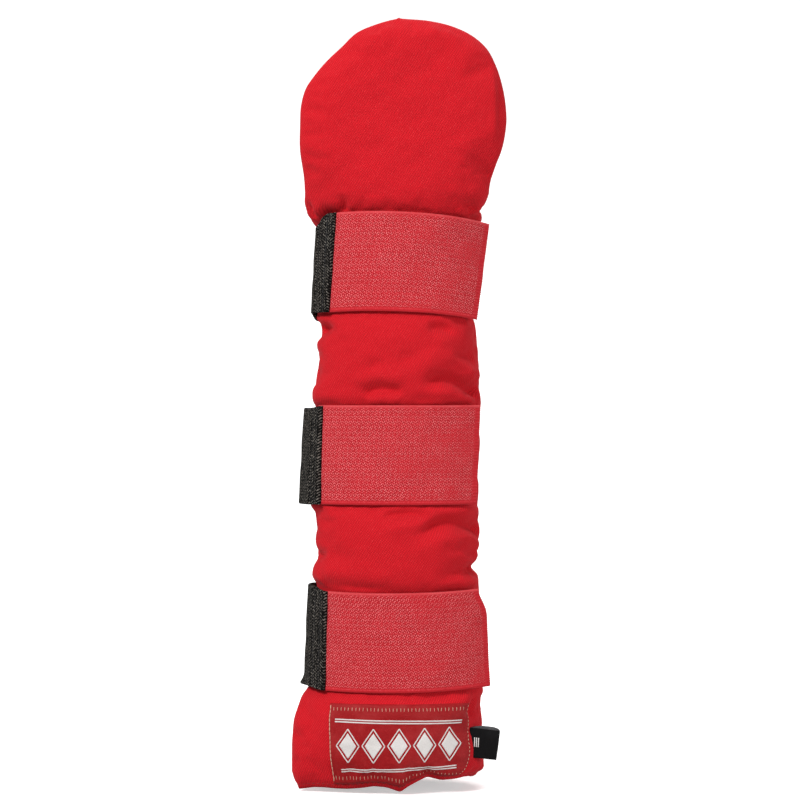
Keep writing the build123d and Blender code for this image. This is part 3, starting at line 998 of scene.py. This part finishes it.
def tape(name, strap):
    """The hook tape: round the front, then flat past its end, cut with pinking teeth."""
    leave = S_FRONT + 1.0
    count = 107
    heights = np.linspace(-HALF, HALF, count)
    fine = np.array([0, 0.12, 0.4, 0.9])
    share = np.concatenate([fine[:-1], np.linspace(0.9, 99.1, 68), 100 - fine[:-1][::-1]]) / 100
    teeth = 0.4 * (np.arange(count) % 2)
    ends = strap["end"] + strap["skew"] * heights - teeth
    if name == "bottom":
        ends = ends - 4.6 * smooth((heights - 9) / 16) ** 1.5
    start = -40.0 + strap["hem"]
    l = start + share[None] * (ends[:, None] - start)
    h = np.repeat(heights[:, None], l.shape[1], axis=1)
    z = strap_z(strap, l) + h
    on = np.minimum(l, leave)
    wavy = 0.16 * wave_noise(l, z, 34, 21) + 0.10 * wave_noise(l, z, 15, 22)
    edge = np.minimum(HALF - np.abs(h), np.minimum(l - start, ends[:, None] - l))
    thick = 0.5 * (TAPE_OUT - TAPE_IN) * np.clip(0.35 + edge / 0.5, 0, 1)
    middle = (TAPE_IN + TAPE_OUT) / 2
    points = []
    for d in (middle + thick, middle - thick):
        p = place(on, z, d + wavy, strap)
        q = place(on - 0.6, z, d + wavy, strap)
        direction = (p - q) / np.linalg.norm(p - q, axis=-1, keepdims=True)
        past = np.clip(l - leave, 0, None)
        bend = past / TAPE_CURL
        away = np.stack([-direction[..., 1], direction[..., 0], 0 * bend], -1)
        reach = past[..., None] * MM
        points.append(p + reach * direction + reach * (bend / 2)[..., None] * away)
    return slab(f"hook_tape_{name}", *points, uv(l - ends[:, None], h), (TAPE, HOOKS))


def elastic_shape(l):
    """Inner and outer distance of the elastic, from the folded hem round to the anchor."""
    hem = smooth((l - TONGUE_LEFT) / (HEM_LEFT - TONGUE_LEFT))
    inner = ELASTIC_IN + (TAPE_OUT + 0.1 - ELASTIC_IN) * smooth((l - HEM_LEFT - 1) / 3)
    groove = sum(peak(l, g, 0.6) for g in HEM_ROWS)
    outer = ELASTIC_OUT + FOLD_THICK * hem - 0.55 * groove
    outer = inner + (outer - inner) * rounded((HEM_RIGHT - l) / 1.3)
    under = smooth((ANCHOR_START + 1.5 - l) / 3)
    inner = inner - 1.35 * under
    middle = (inner + outer) / 2
    half = (outer - inner) / 2 * rounded((l - ANCHOR_END) / 1.2)
    anchored = l < ANCHOR_START
    return np.where(anchored, middle - half, inner), np.where(anchored, middle + half, outer)


def elastic_height(strap, l, h):
    """The height of a point h above the elastic's middle."""
    low, high = strap_limits(strap, l)
    return low + (high - low) * (h + HALF) / (2 * HALF)


def hem_shift(strap, l, h):
    """The s of a place l along the elastic, whose folded end is shifted."""
    return l + (strap["hem"] + strap["hem_skew"] * h) * smooth((l - HEM_LEFT) / 8)


def elastic_slack(strap, l, h):
    """How far the elastic stands off the pad where it turns round the left side."""
    return strap["slack"] * peak(l, -57, 9.0) + 0.12 * wave_noise(l, h, 14, 31)


def elastic_part(name, strap, start, end, step=0.8):
    """A run of the elastic, to the left round the guard from start to end."""
    count = int(abs(end - start) / step) + 2
    along = np.linspace(start, end, count)
    if start == HEM_RIGHT:
        along = np.concatenate([start - rim_steps(6, 1.3), np.linspace(start - 1.9, end, count)])
    if end == ANCHOR_END:
        along = np.concatenate([np.linspace(start, end + 1.9, count), end + rim_steps(6, 1.2)[::-1]])
    rim = np.array([0, 0.12, 0.45])
    heights = np.concatenate([rim - HALF, np.linspace(1 - HALF, HALF - 1, 62), HALF - rim[::-1]])
    l, h = np.meshgrid(along, heights)
    inner, outer = elastic_shape(l)
    l = hem_shift(strap, l, h)
    round_edge = 1 - np.clip((HALF - np.abs(h)) / 0.9, 0, 1)
    thick = (outer - inner) / 2 * np.sqrt(np.clip(1 - round_edge ** 2, 0.06, 1))
    middle = (outer + inner) / 2 + elastic_slack(strap, l, h)
    z = elastic_height(strap, l, h)
    # The columns run to the left, so they are reversed to face the outside outwards.
    outside = place(l, z, middle + thick, strap)[:, ::-1]
    inside = place(l, z, middle - thick, strap)[:, ::-1]
    return slab(name, outside, inside, uv(l, h)[:, ::-1], (ELASTIC,))


def loop_patch(name, strap):
    """The soft patch under the tape."""
    s, h = np.meshgrid(spaced(2 * PATCH_LONG, 1.2) - PATCH_LONG,
                       spaced(2 * PATCH_TALL, 1.2) - PATCH_TALL)
    z = strap_z(strap, s) + h
    edge = np.minimum(PATCH_LONG - np.abs(s), PATCH_TALL - np.abs(h))
    full = rounded(edge / 1.2)
    sewn = peak(edge, 1.6, 0.6)
    top = 8.7 + (1.15 + 0.06 * wave_noise(s, z, 2.2, 41)) * full - 0.4 * sewn * full
    base = np.full_like(top, 8.3)
    return slab(f"loop_patch_{name}", place(s, z, top, strap), place(s, z, base, strap), uv(s, h),
                (PILE,))


def stitch_box(left, right, half_height):
    """A box of stitches, as places round and heights from the strap's middle."""
    corners = [(left, -half_height), (right, -half_height), (right, half_height),
               (left, half_height), (left, -half_height)]
    sides = [np.linspace(a, b, 20)[:-1] for a, b in zip(corners, corners[1:])]
    return np.concatenate(sides + [corners[:1]])


def on_elastic(strap):
    """Where thread lies on the elastic of a strap."""
    def lay(l, h, up):
        top = elastic_shape(l)[1]
        l = hem_shift(strap, l, h)
        top = top + elastic_slack(strap, l, h)
        return place(l, elastic_height(strap, l, h), top + up, strap)
    return lay


def on_patch(strap):
    """Where thread lies on the loop patch of a strap."""
    return lambda s, h, up: place(s, strap_z(strap, s) + h, 9.45 + up, strap)


patch_stitches, anchor_stitches = [], []
for name, strap in STRAPS.items():
    body = f"strap_{name}"
    settle(tape(name, strap), body)
    settle(elastic_part(f"elastic_hem_{name}", strap, HEM_RIGHT, HEM_LEFT), body)

    rows = join(f"strap_stitches_{name}", [
        stitch_line(f"hem_row_{name}_{k}", np.linspace((g, -23.4), (g, 23.4), 30),
                    on_elastic(strap), BLACK_THREAD, 2.6, 2.0, 0.32)
        for k, g in enumerate(HEM_ROWS)
    ])
    settle(rows, body)

    tongue = elastic_part(f"elastic_tongue_{name}", strap, HEM_LEFT, TONGUE_LEFT, 0.4)
    low, high = place(TONGUE_LEFT, strap["z"], 11.0), place(HEM_LEFT, strap["z"], 11.0)
    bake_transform(tongue)
    settle(tongue, nodes=())

    band = elastic_part(f"elastic_band_{name}", strap, TONGUE_LEFT, ANCHOR_END, 1.0)
    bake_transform(band)
    settle(band)

    settle(loop_patch(name, strap), "front")
    patch_stitches.append(stitch_line(f"patch_row_{name}", stitch_box(-22.4, 22.4, 21.4),
                                      on_patch(strap), RED_THREAD, 2.8, 2.0))
    anchor_box = stitch_box(ANCHOR_END + 2.2, ANCHOR_START - 2.0, 21.5)
    anchor_stitches.append(stitch_line(f"anchor_row_{name}", anchor_box, on_elastic(strap),
                                       BLACK_THREAD, 2.6, 2.0, 0.3))

settle(join("loop_patch_stitches", patch_stitches), "front")
settle(join("elastic_anchor_stitches", anchor_stitches), "back")


# ---- The label ----
LABEL_LOW, LABEL_HIGH = 2.6, 40.9
LABEL_LIFT = 0.55
LABEL_WIDTH = 67.0


def label_sides(t):
    """The X of the label's left and right edges, t of the way up. The right one rounds in below."""
    return -30.4 - 0.9 * t, 34.9 - 4.6 * np.clip(1 - t / 0.42, 0, 1) ** 2


def label_top(x, z):
    """How far the label's face stands above the pad. Its turned-in edges are higher."""
    left, right = label_sides((z - LABEL_LOW) / (LABEL_HIGH - LABEL_LOW))
    edge = np.min([x - left, right - x, z - LABEL_LOW, LABEL_HIGH - z], axis=0)
    turned = rounded(edge / 0.6)
    cockle = 0.07 * wave_noise(x, z, 7, 61) + 0.05 * wave_noise(x, z, 3.6, 62)
    return (LABEL_LIFT + 0.16 * smooth((3.4 - edge) / 1.2) + cockle) * turned


def label_piece():
    rows = spaced(LABEL_HIGH - LABEL_LOW, 0.9) / (LABEL_HIGH - LABEL_LOW)
    across = spaced(LABEL_WIDTH, 0.9) / LABEL_WIDTH
    t, u = np.meshgrid(rows, across, indexing="ij")
    left, right = label_sides(t)
    x = left + (right - left) * u
    z = LABEL_LOW + (LABEL_HIGH - LABEL_LOW) * t
    s = s_at(x)
    return slab("woven_label", skin(s, z, None, label_top(x, z)), skin(s, z, None, -0.1), uv(x, z),
                (LABEL,))


def on_label(x, z, h):
    return skin(s_at(x), z, None, label_top(x, z) + h)


def level(x, z):
    """The height before puckering of a point that ends up at height z."""
    found = z
    for _ in range(6):
        found = z - hem_wave(s_at(x), found)
    return found


def strip(name, ends, width):
    """A woven line of the label between two points, a little higher along its middle."""
    (x0, z0), (x1, z1) = ends
    length = math.hypot(x1 - x0, z1 - z0)
    side = (-(z1 - z0) / length * width / 2, (x1 - x0) / length * width / 2)
    t, w = np.meshgrid(np.linspace(0, 1, int(length / 0.8) + 2), [-1, -0.4, 0.4, 1], indexing="ij")
    x = x0 + (x1 - x0) * t + side[0] * w
    z = level(x, z0 + (z1 - z0) * t + side[1] * w)
    top = 0.08 + 0.04 * (1 - np.abs(w))
    return slab(name, on_label(x, z, top), on_label(x, z, -0.1), uv(x, z), (WHITE_THREAD,))


def lozenge(name, x0, z0):
    """A filled lozenge with a thin frame a little way outside it."""
    half_width, half_height, grow = 4.0, 6.2, 1.32
    u, v = np.meshgrid(np.linspace(-1, 1, 15), np.linspace(-1, 1, 15))
    x = x0 + (u - v) / 2 * half_width
    z = level(x, z0 + (u + v) / 2 * half_height)
    made = [slab(name, on_label(x, z, 0.1), on_label(x, z, -0.1), uv(x, z), (WHITE_THREAD,))]
    corners = [(x0 - half_width * grow, z0), (x0, z0 + half_height * grow),
               (x0 + half_width * grow, z0), (x0, z0 - half_height * grow)]
    for k in range(4):
        made.append(strip(f"{name}_{k}", (corners[k], corners[(k + 1) % 4]), 0.5))
    return made


def label_motif():
    """A plain woven pattern: two double rules and a row of lozenges."""
    made = []
    for k, drop in enumerate((0, 1.15)):
        made.append(strip(f"rule_high_{k}", ((-28.4, 33.3 - drop), (31.0, 32.7 - drop)), 0.6))
        made.append(strip(f"rule_low_{k}", ((-26.0, 8.6 - drop), (28.6, 10.9 - drop)), 0.6))
    for k in range(5):
        made += lozenge(f"lozenge_{k}", -22.4 + 11.9 * k, 20.6 + 0.25 * k)
    return join("label_motif", made)


def label_stitching():
    """Whip stitches along the top and bottom, and a fine line down each side."""
    rng = np.random.default_rng(5)
    made = []
    for name, xs, high, low in (("whip_top", np.arange(-29.4, 33.4, 1.75), 39.2, 37.4),
                                ("whip_low", np.arange(-29.0, 29.5, 1.7), 6.0, 4.3)):
        stitches = []
        for k, (x, lean) in enumerate(zip(xs, rng.uniform(-0.25, 0.25, len(xs)))):
            stitches.append(stitch_line(f"{name}_{k}", [(x, high), (x + lean, low)], on_label,
                                        PALE_THREAD, 99, math.hypot(x + lean - x, low - high), 0.13))
        made.append(join(name, stitches))
    t = np.linspace(0.03, 0.985, 40)
    left, right = label_sides(t)
    z = LABEL_LOW + (LABEL_HIGH - LABEL_LOW) * t
    for name, x, pitch, length, radius in (("side_left", left + 0.5, 2.2, 2.1, 0.2),
                                           ("side_right", right - 0.7, 1.9, 1.1, 0.12)):
        made.append(stitch_line(name, np.stack([x, z], -1), on_label, PALE_THREAD, pitch, length,
                                radius))
    return join("label_stitches", made)


settle(label_piece(), "front")
settle(label_motif(), "front", ())
settle(label_stitching(), "front")


# ---- The size tab ----
def size_tab():
    """A ribbon folded in two. Its back leaf stands a little higher, and its corner curls."""
    low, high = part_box("size_tab")
    length = (high[0] - low[0]) / MM
    lean = math.radians(12)
    half, bend = 0.42, 0.62
    flat = length - bend - half
    # The middle of the ribbon, from the front leaf's root round the fold to the back leaf's root.
    front = [(-0.8, -bend * 0.5)]
    front += [(t * flat, -bend * (0.6 + 0.4 * t)) for t in np.linspace(0.04, 1, 22)]
    turn = [(flat + bend * math.sin(a), -bend * math.cos(a)) for a in np.linspace(0, PI, 11)[1:-1]]
    path = np.array(front + turn + [(x, -y) for x, y in front[::-1]])
    step = np.gradient(path, axis=0)
    step /= np.linalg.norm(step, axis=1, keepdims=True)
    normal = np.stack([step[:, 1], -step[:, 0]], -1)
    heights = np.linspace(0, 1, 20)
    tall = (high[2] - low[2]) / MM
    back_leaf = np.linspace(0, 1, len(path))
    faces_out = []
    for side in (1, -1):
        grid = path[:, None, :] + side * normal[:, None, :] * half / 2 * np.ones((1, 20, 1))
        along, across = grid[..., 0], grid[..., 1]
        share = along / length
        # The end hangs, and its upper corner leans back.
        curl = 1.6 * smooth(share) * heights[None] ** 2 - 0.8 * smooth(share)
        across = across + curl
        z = low[2] / MM + heights[None] * tall - 2.0 * share - 0.4 * share * heights[None]
        z = z + 1.5 * smooth((back_leaf[:, None] - 0.5) * 6) * heights[None] * smooth(share * 2)
        taper = 1.0 - 0.14 * (1 - heights[None])
        x = low[0] / MM - 0.6 + along * taper * math.cos(lean) - across * math.sin(lean)
        y = low[1] / MM + 0.7 + along * math.sin(lean) + across * math.cos(lean)
        faces_out.append(np.stack([x, y, z], -1) * MM)
    run = np.concatenate([[0], np.cumsum(np.linalg.norm(np.diff(path, axis=0), axis=1))])
    uvs = uv(run[:, None], heights[None] * tall)
    return slab("size_tab", *faces_out, uvs, (TAB, TAB_REVERSE)), faces_out[0]


def tab_marks(face):
    """Three short woven bars on the tab's front leaf."""
    proud = np.array([0.0, 0.1, 0.0]) * MM
    made = []
    for k in range(3):
        rows = np.linspace(5 + 1.4 * k, 5.7 + 1.4 * k, 3)
        cols = np.linspace(7, 13, 8)
        i, j = np.meshgrid(rows, cols, indexing="ij")
        points = between(face, j, i)
        made.append(slab(f"tab_bar_{k}", points - proud, points + proud, uv(i, j),
                         (WHITE_THREAD,)))
    return join("size_tab_bars", made)


tab, tab_face = size_tab()
settle(tab, "size_tab")
settle(tab_marks(tab_face), "size_tab", ())


# ---- Stage, light and camera ----
HEM_DROP = 0.0042  # the floor lies this far below the CAD's hem plane, as the hem dips
CAMERA_AT = (0.002, -1.330, 0.1935)
SENSOR = 36.0
VIEW_WIDTH = 400 / 1300  # the view's width over its distance


def stage():
    """A floor that curves up into a wall behind."""
    profile = [(-2.6, 0.0), (1.2, 0.0)]
    profile += [(1.2 + 1.2 * math.sin(a), 1.2 - 1.2 * math.cos(a))
                for a in np.linspace(0.1, PI / 2, 14)]
    profile += [(2.4, 5.0)]
    verts = [(x, y, z - HEM_DROP) for y, z in profile for x in (-4.5, 4.5)]
    faces = grid_faces(len(profile), 2)
    n = Nodes("backdrop")
    # It looks white to the camera, and throws back only part of the light that falls on it.
    seen = n.new("LightPath").outputs["Is Camera Ray"]
    mat = n.finish(n.mix(seen, (0.5, 0.5, 0.5), (0.93, 0.93, 0.93)), 0.9, 0.0, (1, 1, 1), 0.1)
    n.put(n.shader.inputs["Emission Color"], (1, 1, 1))
    n.put(n.shader.inputs["Emission Strength"], n.mul(seen, 0.46))
    floor = mesh_object("floor", verts, faces, np.zeros((len(verts), 2)), (mat,), solid=False)
    floor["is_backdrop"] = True


def lamp(name, at, aim, side, power):
    """A square area lamp."""
    data = bpy.data.lights.new(name, "AREA")
    data.shape = "RECTANGLE"
    data.size = data.size_y = side
    data.energy = power
    obj = in_scene(name, data)
    obj.location = at
    obj.rotation_euler = (Vector(aim) - Vector(at)).to_track_quat("-Z", "Y").to_euler()


stage()
lamp("key", (-1.0, -1.35, 1.3), (0, 0, 0.18), 0.6, 38)
lamp("fill", (1.6, -0.8, 0.15), (0, 0, 0.12), 1.0, 19)
lamp("top", (0.1, 0.2, 1.9), (0, 0, 0.1), 1.6, 12)
lamp("back", (0.3, 1.5, 1.5), (0, 0, 0.2), 1.0, 14)

world = bpy.data.worlds.new("studio")
bpy.context.scene.world = world
world.use_nodes = True
background = world.node_tree.nodes["Background"]
background.inputs["Color"].default_value = (1, 1, 1, 1)
background.inputs["Strength"].default_value = 0.27

camera = bpy.data.cameras.new("camera")
camera.lens = SENSOR / VIEW_WIDTH
camera_object = in_scene("camera", camera)
camera_object.location = CAMERA_AT
camera_object.rotation_euler = (PI / 2, 0, 0)
bpy.context.scene.camera = camera_object
bpy.context.scene.view_settings.view_transform = "Standard"

low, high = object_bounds()
